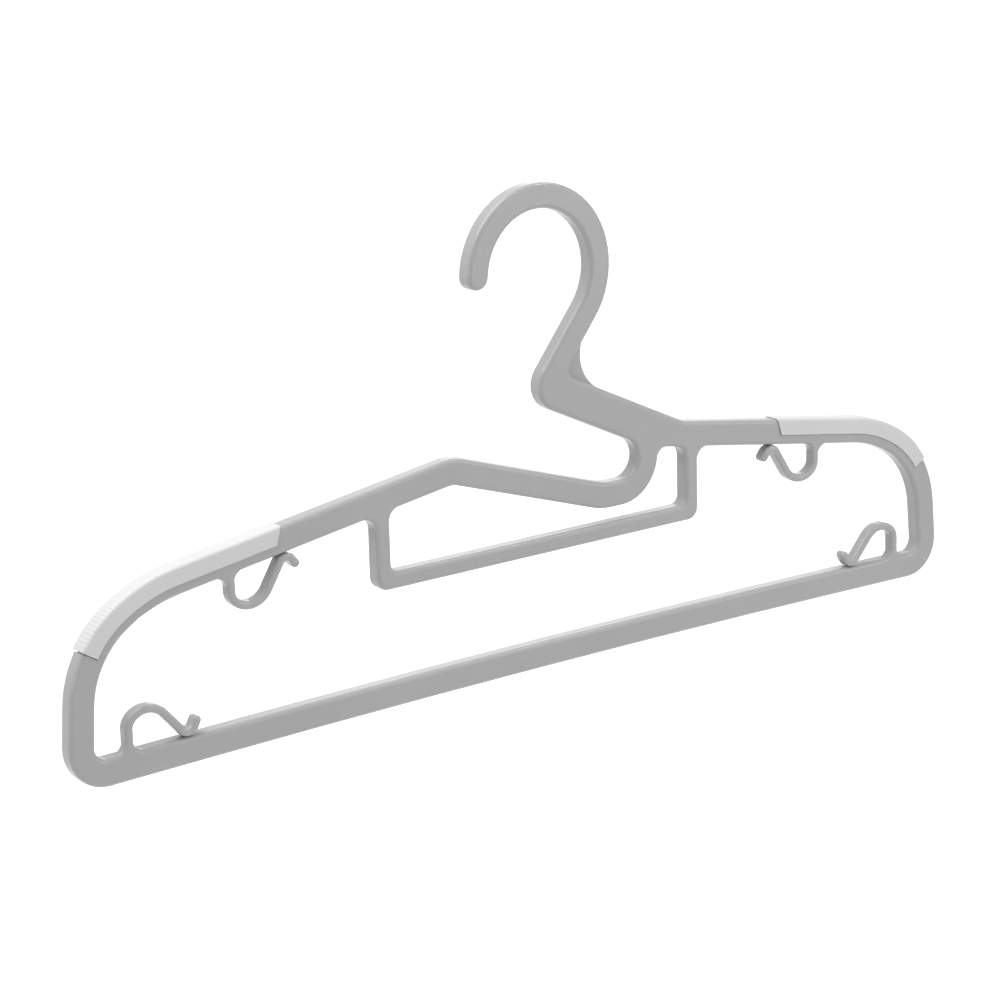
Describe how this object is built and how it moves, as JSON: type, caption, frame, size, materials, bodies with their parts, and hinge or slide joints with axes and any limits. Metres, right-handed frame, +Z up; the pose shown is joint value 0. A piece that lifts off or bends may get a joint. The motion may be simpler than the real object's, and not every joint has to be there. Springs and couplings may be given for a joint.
{
  "type": "clothes hanger",
  "caption": "Moulded clothes hanger with an offset hook, side-open collar slot, tie bar, bowed trouser bar, sprung clips and soft shoulder grips.",
  "frame": {"origin": "centre of the hook's round seat, at mid thickness", "axes": "+X to the right seen from the front, along the width; +Y to the back; +Z up"},
  "size_m": [0.4216, 0.008, 0.191],
  "materials": {
    "frame_plastic": "satin moulded polypropylene",
    "soft_grip": "matte ribbed soft thermoplastic"
  },
  "bodies": {
    "hanger": {"frame": "frame_plastic", "left_grip": "soft_grip", "right_grip": "soft_grip"},
    "upper_left_clip": {"upper_left_clip": "frame_plastic"},
    "upper_right_clip": {"upper_right_clip": "frame_plastic"},
    "lower_left_clip": {"lower_left_clip": "frame_plastic"},
    "lower_right_clip": {"lower_right_clip": "frame_plastic"}
  },
  "joints": [
    {"name": "upper_left_spring", "type": "hinge", "parent": "hanger", "child": "upper_left_clip", "pos_m": [-0.14233, 0, -0.09517], "axis": [0, 1, 0], "range_deg": [0, 12], "stiffness_Nm_per_rad": 0.9},
    {"name": "upper_right_spring", "type": "hinge", "parent": "hanger", "child": "upper_right_clip", "pos_m": [0.14053, 0, -0.09517], "axis": [0, -1, 0], "range_deg": [0, 12], "stiffness_Nm_per_rad": 0.9},
    {"name": "lower_left_spring", "type": "hinge", "parent": "hanger", "child": "lower_left_clip", "pos_m": [-0.18749, 0, -0.14153], "axis": [0, -1, 0], "range_deg": [0, 12], "stiffness_Nm_per_rad": 0.9},
    {"name": "lower_right_spring", "type": "hinge", "parent": "hanger", "child": "lower_right_clip", "pos_m": [0.18569, 0, -0.14153], "axis": [0, 1, 0], "range_deg": [0, 12], "stiffness_Nm_per_rad": 0.9}
  ]
}
